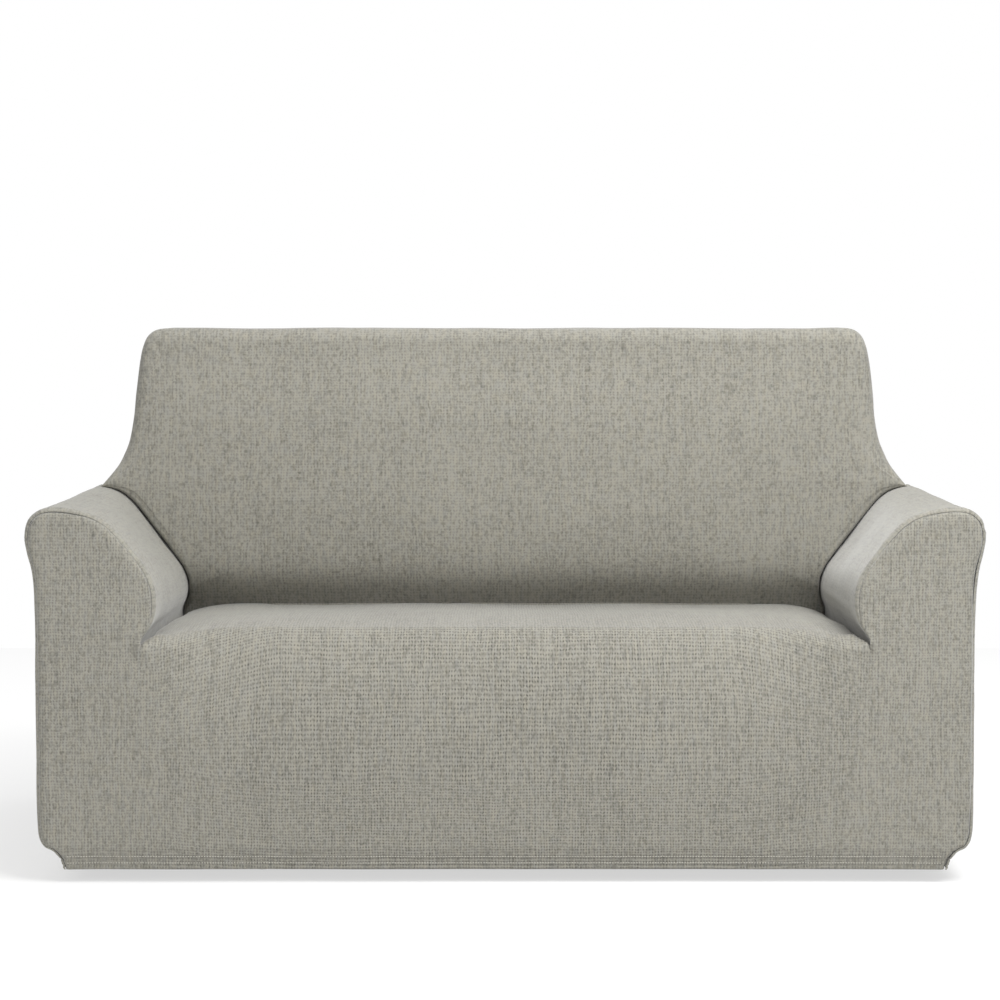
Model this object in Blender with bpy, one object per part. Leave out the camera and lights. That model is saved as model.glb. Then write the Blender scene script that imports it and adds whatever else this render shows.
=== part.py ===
"""Stretch slipcover of a two-seat sofa: five sewn cloths, hollow, as they sit on the sofa.

X runs across the seat, the front faces -Y and Z is up. The origin is under the middle of the
cover, level with its hem. The sofa that fills the cover isn't part of it.
"""

import math

import bmesh
import bpy
import numpy as np
from mathutils import Matrix, Vector, kdtree

# The cloth and its seams, in metres
CLOTH = 0.002
SEAM_GAP = 0.0008
HEM_DRAW = 0.010
HEM_RISE = 0.040

# The planes of the front and the rear
FRONT_Y = -0.425
REAR_Y = 0.425
REAR_ROUND = 0.020

# The seat and the apron that hangs from it
APRON_TOP = 0.371
SEAT_HALF = 0.6097
SEAT_LIP = 0.378
SEAT_RISE = 0.029
SEAT_SHOULDER = 0.050
SEAT_ROLL = 0.055
ROLL_DEPTH = 0.075
ROLL_FOOT = 0.160
ROLL_FULL = 0.450
ROLL_END = 0.598

# The tuck round the seat, and how it opens at its front end and at its lip
TUCK_FLOOR = 0.345
TUCK_REACH = 0.040
TUCK_GAP = 0.0004
TUCK_LIP_GAP = 0.003
TUCK_FADE = 0.070
TUCK_ROUND = 0.008
SEAT_MOUTH = 0.0012
SEAT_MOUTH_FADE = 0.040
SLIT_CLEAR = 0.0018

# The backrest
BACK_Y = 0.125
BACK_TOP = 0.906
BACK_LEAN = 0.075
BACK_ROUND = 0.026
BACK_CROWN = 0.012
CROWN_START = 0.15
CROWN_RISE = 0.30

# How edges that are sewn together find each other, and how far their mitre may run out
WELD = 0.00001
MEETING = 0.0019
SEWN_FACING = 0.5
MITRE_LIMIT = 0.1
SHORTEST_SPAN = 0.000001

SHARP_DEGREES = 40
CLOTH_COLOUR = (0.33, 0.31, 0.27, 1.0)
CLOTH_ROUGHNESS = 0.9

# The arm's section from the tuck beside the seat, over the arm and down to the hem: across and
# up at its front end, across and up at its back end, the round of its front edge, mesh steps.
ARM = (
    # name, front_x, front_z, back_x, back_z, round, steps
    ("tuck floor", 0.6100, APRON_TOP, 0.6102, 0.345, 0.004, 1),
    ("tuck lip", 0.6070, 0.388, 0.6090, 0.376, 0.008, 1),
    ("inner foot", 0.5880, 0.418, 0.5985, 0.402, 0.014, 1),
    ("inner bulge", 0.5820, 0.455, 0.5950, 0.431, 0.020, 1),
    ("inner low", 0.5883, 0.487, 0.6030, 0.457, 0.020, 1),
    ("inner slope", 0.6010, 0.511, 0.6165, 0.478, 0.020, 1),
    ("slope middle", 0.6232, 0.542, 0.6380, 0.507, 0.020, 1),
    ("slope high", 0.6437, 0.565, 0.6600, 0.535, 0.020, 1),
    ("shoulder", 0.6635, 0.584, 0.6800, 0.561, 0.020, 1),
    ("crown inside", 0.6890, 0.598, 0.7010, 0.585, 0.020, 1),
    ("crown", 0.7192, 0.605, 0.7250, 0.602, 0.020, 1),
    ("crown outside", 0.7502, 0.608, 0.7555, 0.610, 0.020, 2),
    ("scroll top", 0.7750, 0.604, 0.7780, 0.605, 0.020, 2),
    ("scroll", 0.7935, 0.588, 0.7935, 0.588, 0.020, 2),
    ("scroll outside", 0.8000, 0.560, 0.8000, 0.560, 0.020, 1),
    ("under scroll", 0.7965, 0.533, 0.7965, 0.533, 0.020, 1),
    ("hollow", 0.7900, 0.508, 0.7900, 0.508, 0.020, 1),
    ("hollow low", 0.7865, 0.480, 0.7865, 0.480, 0.020, 1),
    ("side top", 0.7850, 0.430, 0.7850, 0.430, 0.020, 1),
    ("side upper", 0.7850, APRON_TOP, 0.7850, APRON_TOP, 0.020, 1),
    ("side middle", 0.7850, 0.250, 0.7850, 0.250, 0.020, 1),
    ("side low", 0.7850, 0.150, 0.7850, 0.150, 0.020, 1),
    ("corner", 0.7845, 0.085, 0.7845, 0.085, 0.020, 1),
    ("corner low", 0.7815, 0.054, 0.7815, 0.054, 0.018, 1),
    ("corner under", 0.7720, 0.039, 0.7720, 0.039, 0.014, 1),
    ("under", 0.7580, 0.032, 0.7580, 0.032, 0.012, 1),
    ("ankle", 0.7470, 0.019, 0.7470, 0.019, 0.012, 1),
    ("hem", 0.7420, 0.000, 0.7420, 0.000, 0.012, 0),
)

# The backrest's outline above the arm: across and up at its front and at its rear, mesh steps.
BACK = (
    # name, front_x, front_z, rear_x, rear_z, steps
    ("on the arm", 0.7555, 0.610, 0.7935, 0.588, 1),
    ("flare foot", 0.7410, 0.628, 0.7780, 0.612, 1),
    ("flare", 0.7250, 0.650, 0.7530, 0.642, 1),
    ("neck", 0.7140, 0.673, 0.7290, 0.671, 1),
    ("neck top", 0.7055, 0.697, 0.7120, 0.698, 1),
    ("side low", 0.6985, 0.740, 0.7000, 0.742, 1),
    ("side", 0.6950, 0.787, 0.6950, 0.787, 1),
    ("side high", 0.6870, 0.852, 0.6870, 0.852, 1),
    ("corner low", 0.6815, 0.876, 0.6815, 0.876, 1),
    ("corner", 0.6725, 0.893, 0.6725, 0.893, 1),
    ("corner top", 0.6570, 0.903, 0.6570, 0.903, 1),
    ("top end", 0.6300, 0.906, 0.6300, 0.906, 0),
)

# Where the columns of the seat and apron stand, as distances in from the seat's side.
SEAT_COLUMNS = (0.0, 0.0035, 0.011, 0.028, 0.055, 0.095, 0.160, 0.250, 0.370, 0.490, SEAT_HALF)

# How far the first of those columns hang into the tuck, as shares of its depth.
TUCK_DROPS = (1.0, 0.45, 0.0)
TUCK_LIP_INSET = SEAT_COLUMNS[len(TUCK_DROPS) - 1]

# The mesh: columns and rows of the patches, and the turns of a round edge in degrees.
ARM_FRONT_COLUMNS = 4
ROLL_ROWS = 4
DECK_ROWS = 6
ARM_ROWS = 8
BACK_COLUMNS = 8
CORNER_POINTS = 3
FLARE_COLUMNS = 4
EDGE_TURNS = (0.0, 22.5, 45.0)
FULL_TURNS = (0.0, 30.0, 60.0, 90.0)

ARM_NAMES = [row[0] for row in ARM]


def smooth(t):
    """0 to 1 with level ends, for t from 0 to 1 and held past them."""
    t = min(max(t, 0.0), 1.0)
    return t * t * (3 - 2 * t)


def curve_through(points, steps):
    """Points on a smooth curve through the given ones, with so many steps in each span."""
    last = len(points) - 1
    knots = [0.0]
    for here, after in zip(points, points[1:]):
        knots.append(knots[-1] + max((after - here).length, SHORTEST_SPAN))
    slopes = []
    for k in range(last + 1):
        low, high = max(k - 1, 0), min(k + 1, last)
        slopes.append((points[high] - points[low]) / (knots[high] - knots[low]))
    curve = []
    for k in range(last):
        span = knots[k + 1] - knots[k]
        for step in range(steps[k]):
            t = step / steps[k]
            curve.append(
                points[k] * (2 * t**3 - 3 * t**2 + 1)
                + slopes[k] * span * (t**3 - 2 * t**2 + t)
                + points[k + 1] * (3 * t**2 - 2 * t**3)
                + slopes[k + 1] * span * (t**3 - t**2)
            )
    curve.append(points[last])
    return curve


def outward_of(curve):
    """The unit normal at each point, on the left of the way the curve runs."""
    normals = []
    for k in range(len(curve)):
        way = curve[min(k + 1, len(curve) - 1)] - curve[max(k - 1, 0)]
        normals.append(Vector((-way.y, way.x)).normalized())
    return normals


ARM_STEPS = [row[6] for row in ARM]
ARM_FRONT = curve_through([Vector(row[1:3]) for row in ARM], ARM_STEPS)
ARM_BACK = curve_through([Vector(row[3:5]) for row in ARM], ARM_STEPS)
ARM_ROUND = [p.x for p in curve_through([Vector((row[5], 0)) for row in ARM], ARM_STEPS)]
ARM_FRONT_OUT = outward_of(ARM_FRONT)
ARM_BACK_OUT = outward_of(ARM_BACK)
ARM_FRONT_OUT[0] = Vector((-1, 0))


def arm_index(name):
    """The place in the arm's curves of a named row of its table."""
    return sum(ARM_STEPS[: ARM_NAMES.index(name)])


TUCK_LIP = arm_index("tuck lip")
ON_ARM = arm_index("crown outside")
REAR_CORNER = arm_index("scroll")
APRON_SIDE = arm_index("side upper")

BACK_STEPS = [row[5] for row in BACK]
SIDE_FRONT = curve_through([Vector(row[1:3]) for row in BACK], BACK_STEPS)
SIDE_REAR = curve_through([Vector(row[3:5]) for row in BACK], BACK_STEPS)


def face_y(z):
    """How far back the inside back's face stands at a height."""
    return BACK_Y + BACK_LEAN * max(0.0, z - SEAT_LIP) / (BACK_TOP - SEAT_LIP)


def hem_draw(z):
    """How far the front's cloth is drawn in at a height near its hem."""
    return HEM_DRAW * smooth((HEM_RISE - z) / HEM_RISE)


def turned(radius, degrees):
    """Along the face and away from it, for a round edge turned so far from the face."""
    angle = math.radians(degrees)
    return radius * (1 - math.sin(angle)), radius * (1 - math.cos(angle))


def add_patch(bm, columns, rows, place):
    """A grid of quads whose points are placed by their column and row."""
    grid = bmesh.ops.create_grid(bm, x_segments=columns, y_segments=rows, size=0.5)
    for vert in grid["verts"]:
        column = round((vert.co.x + 0.5) * columns)
        row = round((vert.co.y + 0.5) * rows)
        vert.co = place(column, row)


# The front: apron, arm fronts and seat


def front_edge(index, degrees):
    """A point of the front cloth's round border, beside the arm's section."""
    inset, back = turned(ARM_ROUND[index], degrees)
    across, up = ARM_FRONT[index] - ARM_FRONT_OUT[index] * inset
    if index == len(ARM_FRONT) - 1:
        up = 0.0
    return Vector((across, FRONT_Y + back + hem_draw(up), up))


def apron_columns():
    """The distances from the middle, as shares of the apron's half width, along its top."""
    width = front_edge(APRON_SIDE, 0).x
    seat = [(SEAT_HALF - inset) for inset in reversed(SEAT_COLUMNS[1:])]
    border = [front_edge(0, degrees).x for degrees in reversed(EDGE_TURNS[1:])]
    inner = front_edge(0, 0).x
    arm = [inner + (width - inner) * k / ARM_FRONT_COLUMNS for k in range(ARM_FRONT_COLUMNS + 1)]
    return [x / width for x in seat + border + arm]


APRON_SHARES = apron_columns()


def full_roll(across):
    """The share of the seat's full roll at a distance from the middle. None at the arms."""
    return 1 - smooth((across - ROLL_FULL) / (ROLL_END - ROLL_FULL))


def roll_back(across, z):
    """How far back the padding's roll turns the front's cloth at a height."""
    if across >= ROLL_END:
        return 0.0
    tall = seat_level(SEAT_HALF - across) - ROLL_FOOT
    rise = min(max((z - ROLL_FOOT) / tall, 0.0), 1.0)
    return full_roll(across) * ROLL_DEPTH * (1 - math.sqrt(1 - rise * rise))


def apron_point(column, row):
    """A point of the apron, row by row up from the hem."""
    index = len(ARM_FRONT) - 1 - row
    edge = front_edge(index, 0)
    across = edge.x * APRON_SHARES[column]
    y = FRONT_Y + hem_draw(edge.z) + roll_back(across, edge.z)
    point = Vector((across, y, edge.z))
    border = column - len(SEAT_COLUMNS) + 1
    if index == APRON_SIDE and 0 <= border < len(EDGE_TURNS):
        point = front_edge(0, EDGE_TURNS[-1 - border])
    return point


def coons(south, north, west, east, across, up):
    """A point of the patch between four rows of points that share their ends."""
    s, t = across / (len(south) - 1), up / (len(west) - 1)
    ruled = west[up].lerp(east[up], s) + south[across].lerp(north[across], t)
    return ruled - south[0].lerp(south[-1], s).lerp(north[0].lerp(north[-1], s), t)


def add_arm_front(bm):
    """The flat of one arm's front, inside its round border."""
    rim = [front_edge(index, 0) for index in range(APRON_SIDE + 1)]
    tall = (APRON_SIDE - ARM_FRONT_COLUMNS) // 2
    west = rim[: tall + 1]
    north = rim[tall : tall + ARM_FRONT_COLUMNS + 1]
    east = rim[: tall + ARM_FRONT_COLUMNS - 1 : -1]
    south = [rim[0].lerp(rim[-1], k / ARM_FRONT_COLUMNS) for k in range(ARM_FRONT_COLUMNS + 1)]
    add_patch(
        bm,
        ARM_FRONT_COLUMNS,
        tall,
        lambda column, row: coons(south, north, west, east, column, row),
    )


def seat_level(inset):
    """The height of the seat at a distance in from the tuck beside the arm."""
    return SEAT_LIP + SEAT_RISE * (1 - math.exp(-inset / SEAT_SHOULDER))


def seat_point(column, row):
    """A point of the seat, row by row from the apron's top over the roll to the back tuck."""
    inset = SEAT_COLUMNS[len(SEAT_COLUMNS) - 1 - column]
    across = SEAT_HALF - inset
    level = seat_level(inset)
    if row == 0:
        return apron_point(column, len(ARM_FRONT) - 1 - APRON_SIDE)
    rear = BACK_Y - TUCK_GAP - TUCK_LIP_INSET
    end_roll = SEAT_ROLL * (1 - full_roll(across))
    if row <= ROLL_ROWS:
        angle = math.radians(90 * row / ROLL_ROWS)
        z = APRON_TOP + (level - APRON_TOP) * math.sin(angle)
        y = FRONT_Y + end_roll * (1 - math.cos(angle)) + roll_back(across, z)
        behind = 0
    else:
        behind = max(0, row - ROLL_ROWS - DECK_ROWS)
        share = min(1.0, (row - ROLL_ROWS) / DECK_ROWS)
        front = FRONT_Y + end_roll + roll_back(across, level)
        y = front + (rear - front) * share
        z = level
    across -= SEAT_MOUTH * (1 - smooth((y - FRONT_Y) / SEAT_MOUTH_FADE))
    place_in_tuck = min(SEAT_COLUMNS.index(inset), len(TUCK_DROPS) - 1)
    side_drop = TUCK_DROPS[place_in_tuck] * smooth((y - FRONT_Y) / TUCK_FADE)
    back_drop = TUCK_DROPS[-1 - behind]
    y += TUCK_LIP_INSET - SEAT_COLUMNS[len(TUCK_DROPS) - 1 - behind]
    z -= (z - TUCK_FLOOR) * max(side_drop, back_drop)
    return Vector((across, y, z))


def make_front():
    bm = bmesh.new()
    apron_rows = len(ARM_FRONT) - 1 - APRON_SIDE
    add_patch(bm, len(APRON_SHARES) - 1, apron_rows, apron_point)
    add_patch(
        bm,
        len(ARM_FRONT) - 1,
        len(EDGE_TURNS) - 1,
        lambda column, row: front_edge(column, EDGE_TURNS[row]),
    )
    add_arm_front(bm)
    add_patch(bm, len(SEAT_COLUMNS) - 1, ROLL_ROWS + DECK_ROWS + 2, seat_point)
    return bm


# The arm's band


def arm_rear_y(index):
    """How far back the arm's cloth reaches along its section."""
    if index <= ON_ARM:
        return face_y(ARM_BACK[index].y) + TUCK_REACH
    if index >= REAR_CORNER:
        return REAR_Y - turned(REAR_ROUND, 45)[1]
    start = face_y(ARM_BACK[ON_ARM].y) + TUCK_REACH
    end = REAR_Y - turned(REAR_ROUND, 45)[1]
    return start + (end - start) * (index - ON_ARM) / (REAR_CORNER - ON_ARM)


def rear_turn(index):
    """How much of the rear edge's round the arm's cloth takes at a place of its section."""
    return smooth((index - ON_ARM) / (REAR_CORNER - ON_ARM))


def arm_point(index, row):
    """A point of the arm's band, row by row from its front seam to its rear one."""
    radius = ARM_ROUND[index]
    turns = len(EDGE_TURNS) - 1
    rows = ARM_ROWS + 2 * turns
    rear_y = arm_rear_y(index)
    front_y = FRONT_Y + radius
    inset_rear, back_rear = turned(REAR_ROUND, 45)
    last_y = rear_y - (REAR_ROUND - back_rear)
    if row < turns:
        inset, back = turned(radius, 90 - EDGE_TURNS[turns - row])
        y = FRONT_Y + back
        share = 0.0
    elif row <= turns + ARM_ROWS:
        inset = 0.0
        share = (row - turns) / ARM_ROWS
        y = front_y + (last_y - front_y) * share
    else:
        inset, back = turned(REAR_ROUND, 90 - EDGE_TURNS[row - turns - ARM_ROWS])
        y = rear_y + back_rear - back
        inset *= rear_turn(index)
        share = 1.0
    share = smooth(share)
    if index <= TUCK_LIP:
        share = smooth((y - FRONT_Y - radius) / TUCK_FADE)
    section = ARM_FRONT[index].lerp(ARM_BACK[index], share)
    outward = ARM_FRONT_OUT[index].lerp(ARM_BACK_OUT[index], share).normalized()
    across, up = section - outward * inset
    if index == 0:
        up += SLIT_CLEAR * (1 - share)
    if index == len(ARM_FRONT) - 1:
        up = 0.0
    return Vector((across, y + hem_draw(up) * (1 - share), up))


def make_arm():
    bm = bmesh.new()
    rows = ARM_ROWS + 2 * (len(EDGE_TURNS) - 1)
    add_patch(bm, len(ARM_FRONT) - 1, rows, arm_point)
    return bm


# The inside back and the outside back


def back_outline():
    """The inside back's half outline, up from the tuck floor to the end of its top."""
    outline = ARM_BACK[: ON_ARM + 1] + SIDE_FRONT[1:]
    normals = [-normal for normal in outward_of(outline)]
    normals[-1] = Vector((0, 1))
    return outline, normals


def rear_outline():
    """The outside back's half outline, up from the hem to the end of its top."""
    outline = ARM_BACK[: REAR_CORNER - 1 : -1] + SIDE_REAR[1:]
    normals = [-normal for normal in outward_of(outline)]
    normals[len(ARM_BACK) - 1 - REAR_CORNER] = ARM_BACK_OUT[REAR_CORNER]
    normals[-1] = Vector((0, 1))
    return outline, normals


BACK_EDGE, BACK_OUT = back_outline()
REAR_EDGE, REAR_OUT = rear_outline()
REAR_ARM = len(ARM_BACK) - 1 - REAR_CORNER


def back_radius(index):
    """The round of the inside back's border: tight in the tuck, full above the arm."""
    return TUCK_ROUND + (BACK_ROUND - TUCK_ROUND) * smooth((index - ON_ARM) / FLARE_COLUMNS)


def back_edge(index, degrees, gap):
    """A point of the inside back's round border, clear of the arm's cloth by a gap."""
    inset, back = turned(back_radius(index), degrees)
    if index <= ON_ARM:
        inset += gap
    across, up = BACK_EDGE[index] - BACK_OUT[index] * inset
    if index == 0:
        up = TUCK_FLOOR
    return Vector((across, face_y(up) + back, up))


def rear_edge(index, degrees):
    """A point of the outside back's round border."""
    inset, back = turned(REAR_ROUND, degrees)
    across, up = REAR_EDGE[index] - REAR_OUT[index] * inset
    if index == 0:
        up = 0.0
    return Vector((across, REAR_Y - back, up))


def over_point(index, row):
    """A point of the cloth turned back from the inside back's border, row by row."""
    turned_rows = len(FULL_TURNS)
    if row < turned_rows:
        return back_edge(index, FULL_TURNS[row], TUCK_LIP_GAP)
    if index <= ON_ARM and row == turned_rows:
        point = back_edge(index, 90, TUCK_GAP)
        point.y = arm_rear_y(index)
        return point
    step = row - turned_rows
    steps = REAR_CORNER - ON_ARM
    if index == ON_ARM:
        return arm_point(ON_ARM + step, ARM_ROWS + 2 * (len(EDGE_TURNS) - 1))
    start = back_edge(index, 90, 0)
    rear = index - ON_ARM + REAR_ARM
    flat_steps = steps - len(EDGE_TURNS) + 1
    share = min(1.0, (step + 1) / (flat_steps + 1))
    degrees = 90 - EDGE_TURNS[max(0, step - flat_steps)]
    point = start.lerp(rear_edge(rear, 90), share)
    if step > flat_steps:
        point = rear_edge(rear, degrees)
    even = start.lerp(rear_edge(rear, 45), (step + 1) / (steps + 1))
    return even.lerp(point, smooth((index - ON_ARM) / FLARE_COLUMNS))


def add_top(bm, rows, place):
    """The part of a border along the straight top, from its end to the middle."""

    def top_point(column, row):
        point = place(row)
        point.x *= 1 - column / BACK_COLUMNS
        return point

    add_patch(bm, BACK_COLUMNS, rows, top_point)


def add_face(bm, rim, bulge):
    """The flat inside half an outline, whose last points turn the top corner."""
    east, corner = rim[:-CORNER_POINTS], rim[-CORNER_POINTS - 1 :]
    end = corner[-1]
    top = [Vector((end.x * k / BACK_COLUMNS, end.y, end.z)) for k in range(BACK_COLUMNS)]
    north = top + corner[::-1]
    foot, head = rim[0], north[-1]
    south = [Vector((foot.x * point.x / head.x, foot.y, foot.z)) for point in north]
    west = []
    for point in east:
        share = (point.z - foot.z) / (head.z - foot.z)
        west.append(south[0].lerp(north[0], share))

    def face_point(column, row):
        point = coons(south, north, west, east, column, row)
        point.y += bulge(column / (len(north) - 1), row / (len(east) - 1))
        return point

    add_patch(bm, len(north) - 1, len(east) - 1, face_point)


def crown(across, up):
    """How far the inside back's padding pushes its cloth forward."""
    low, high = smooth((up - CROWN_START) / CROWN_RISE), smooth((1 - up) / CROWN_RISE)
    return -BACK_CROWN * (1 - across**2) * low * high


def make_inside_back():
    bm = bmesh.new()
    last = len(BACK_EDGE) - 1
    full = len(FULL_TURNS) + REAR_CORNER - ON_ARM
    add_patch(bm, ON_ARM, len(FULL_TURNS), over_point)
    add_patch(bm, last - ON_ARM, full, lambda column, row: over_point(column + ON_ARM, row))
    add_top(bm, full, lambda row: over_point(last, row))
    add_face(bm, [back_edge(index, 0, TUCK_LIP_GAP) for index in range(last + 1)], crown)
    return bm


def make_outside_back():
    bm = bmesh.new()
    last = len(REAR_EDGE) - 1
    rows = len(EDGE_TURNS) - 1
    add_patch(bm, last, rows, lambda column, row: rear_edge(column, EDGE_TURNS[row]))
    add_top(bm, rows, lambda row: rear_edge(last, EDGE_TURNS[row]))
    add_face(bm, [rear_edge(index, 0) for index in range(last + 1)], lambda across, up: 0.0)
    return bm


# From surfaces to sewn cloths


def join_patches(bm, mirrored, outward):
    """Joins a cloth's patches, and its mirrored half, with its faces turned outward."""
    bmesh.ops.remove_doubles(bm, verts=bm.verts[:], dist=WELD)
    if mirrored:
        geometry = bm.verts[:] + bm.edges[:] + bm.faces[:]
        bmesh.ops.mirror(bm, geom=geometry, matrix=Matrix(), merge_dist=WELD, axis="X")
    bmesh.ops.triangulate(bm, faces=bm.faces[:], quad_method="SHORT_EDGE")
    bmesh.ops.recalc_face_normals(bm, faces=bm.faces[:])
    facing = sum(face.normal.dot(outward) * face.calc_area() for face in bm.faces)
    if facing < 0:
        bmesh.ops.reverse_faces(bm, faces=bm.faces[:])
    bm.normal_update()


def mirror_arm(bm):
    """The other arm's cloth."""
    other = bm.copy()
    bmesh.ops.scale(other, vec=Vector((-1, 1, 1)), verts=other.verts[:])
    bmesh.ops.reverse_faces(other, faces=other.faces[:])
    other.normal_update()
    return other


def edge_points(cloths):
    """A tree of the points on every cloth's edges, and the normal at each."""
    edges = [vert for bm in cloths.values() for vert in bm.verts if vert.is_boundary]
    tree = kdtree.KDTree(len(edges))
    for index, vert in enumerate(edges):
        tree.insert(vert.co, index)
    tree.balance()
    return tree, [vert.normal.copy() for vert in edges]


def wall_way(vert, tree, found):
    """Which way and how far the cloth's back lies from its face, mitred where it is sewn."""
    normals = [vert.normal]
    if vert.is_boundary:
        meeting = [found[index] for _, index, _ in tree.find_range(vert.co, MEETING)]
        normals = [normal for normal in meeting if normal.dot(vert.normal) > SEWN_FACING]
    walls = np.full(len(normals), -CLOTH)
    return Vector(np.linalg.lstsq(np.array(normals), walls, rcond=MITRE_LIMIT)[0])


def ease_seams(bm, tree):
    """Draws every sewn edge back by half the gap of a seam, within the cloth."""
    moves = {}
    for vert in bm.verts:
        if not vert.is_boundary or len(tree.find_range(vert.co, MEETING)) < 2:
            continue
        rim = [edge.other_vert(vert).co for edge in vert.link_edges if edge.is_boundary]
        along = (rim[0] - rim[-1]).normalized()
        inner = sum((face.calc_center_median() for face in vert.link_faces), Vector())
        inward = inner / len(vert.link_faces) - vert.co
        inward -= along * inward.dot(along)
        moves[vert] = inward.normalized() * (SEAM_GAP / 2)
    for vert, move in moves.items():
        vert.co += move


def thicken(bm, tree, found):
    """Gives the cloth its thickness, on the side of the sofa."""
    way = bm.verts.layers.float_vector.new("way")
    for vert in bm.verts:
        vert[way] = wall_way(vert, tree, found)
    ease_seams(bm, tree)
    grown = bmesh.ops.extrude_face_region(bm, geom=bm.faces[:], use_keep_orig=True)
    for vert in grown["geom"]:
        if isinstance(vert, bmesh.types.BMVert):
            vert.co += vert[way]
    bmesh.ops.triangulate(bm, faces=bm.faces[:], quad_method="SHORT_EDGE")
    bmesh.ops.recalc_face_normals(bm, faces=bm.faces[:])


def cloth_material():
    material = bpy.data.materials.new("melange stretch weave")
    material.use_nodes = True
    shader = material.node_tree.nodes["Principled BSDF"]
    shader.inputs["Base Color"].default_value = CLOTH_COLOUR
    shader.inputs["Roughness"].default_value = CLOTH_ROUGHNESS
    shader.inputs["Metallic"].default_value = 0.0
    return material


def add_object(name, bm):
    mesh = bpy.data.meshes.new(name)
    bm.to_mesh(mesh)
    bm.free()
    mesh.shade_smooth()
    mesh.set_sharp_from_angle(angle=math.radians(SHARP_DEGREES))
    mesh.materials.append(cloth_material())
    bpy.context.scene.collection.objects.link(bpy.data.objects.new(name, mesh))


def main():
    for obj in list(bpy.data.objects):
        bpy.data.objects.remove(obj)
    cloths = {
        "front_panel": make_front(),
        "arm_panel_right": make_arm(),
        "inside_back": make_inside_back(),
        "outside_back": make_outside_back(),
    }
    join_patches(cloths["front_panel"], True, Vector((0, -1, 0)))
    join_patches(cloths["arm_panel_right"], False, Vector((1, 0, 0)))
    join_patches(cloths["inside_back"], True, Vector((0, -1, 0)))
    join_patches(cloths["outside_back"], True, Vector((0, 1, 0)))
    cloths["arm_panel_left"] = mirror_arm(cloths["arm_panel_right"])
    tree, found = edge_points(cloths)
    for name, bm in cloths.items():
        thicken(bm, tree, found)
        add_object(name, bm)


main()
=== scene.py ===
"""Finish of the stretch slipcover: five sewn cloths in a melange weave, and a plain studio.

X runs across the seat, the front faces -Y and Z is up, in metres.
"""

import math

import bmesh
import bpy
import numpy as np
from bpy.types import Operator, Panel, PropertyGroup
from mathutils import Matrix, Vector, kdtree, noise
from mathutils.bvhtree import BVHTree


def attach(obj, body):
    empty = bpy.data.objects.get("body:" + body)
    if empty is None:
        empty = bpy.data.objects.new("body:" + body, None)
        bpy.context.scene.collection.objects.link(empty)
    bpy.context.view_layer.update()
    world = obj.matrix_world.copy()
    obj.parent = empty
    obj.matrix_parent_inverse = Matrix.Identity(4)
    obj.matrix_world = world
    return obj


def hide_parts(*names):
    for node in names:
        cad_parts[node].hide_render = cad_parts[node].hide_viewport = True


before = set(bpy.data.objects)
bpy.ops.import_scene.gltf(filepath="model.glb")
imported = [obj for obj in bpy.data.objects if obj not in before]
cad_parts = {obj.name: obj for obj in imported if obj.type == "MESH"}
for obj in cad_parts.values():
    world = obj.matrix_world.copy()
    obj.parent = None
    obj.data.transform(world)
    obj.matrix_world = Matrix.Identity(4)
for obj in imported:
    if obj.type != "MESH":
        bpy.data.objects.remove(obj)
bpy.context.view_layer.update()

bl_info = {
    "name": "Stretch slipcover",
    "version": (1, 0, 0),
    "blender": (4, 5, 0),
    "location": "3D View > Sidebar > Slipcover",
    "description": "Builds the cloths, seams and hem of a stretch slipcover, and its studio",
    "category": "Add Mesh",
}

BODY = "root"

# The planes and sizes of the cover. The rear edge's round, the seat's fall and the sink at the
# backrest's foot belong to the finished cloth, and the others are those of its solids.
FRONT_Y = -0.425
REAR_Y = 0.425
REAR_ROUND = 0.016
HEM_DRAW = 0.010
HEM_RISE = 0.040
APRON_TOP = 0.371
SEAT_HALF = 0.6097
SEAT_LIP = 0.378
SEAT_RISE = 0.029
SEAT_SHOULDER = 0.050
SEAT_FALL = 0.014
SEAT_ROLL = 0.055
ROLL_DEPTH = 0.075
ROLL_FOOT = 0.160
ROLL_FULL = 0.450
ROLL_END = 0.598
ROLL_LENGTH = 0.75
SEAT_MOUTH = 0.0012
SEAT_MOUTH_FADE = 0.040
TUCK_FLOOR = 0.345
TUCK_REACH = 0.040
TUCK_GAP = 0.0004
TUCK_LIP_GAP = 0.003
TUCK_FADE = 0.070
TUCK_ROUND = 0.008
SLIT_CLEAR = 0.0018
BACK_Y = 0.125
BACK_TOP = 0.906
BACK_LEAN = 0.075
BACK_ROUND = 0.026
BACK_CROWN = 0.012
FOOT_SINK = 0.080
FOOT_LEVEL = 0.360
FOOT_WIDTH = 0.062
CROWN_START = 0.15
CROWN_RISE = 0.30

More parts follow.
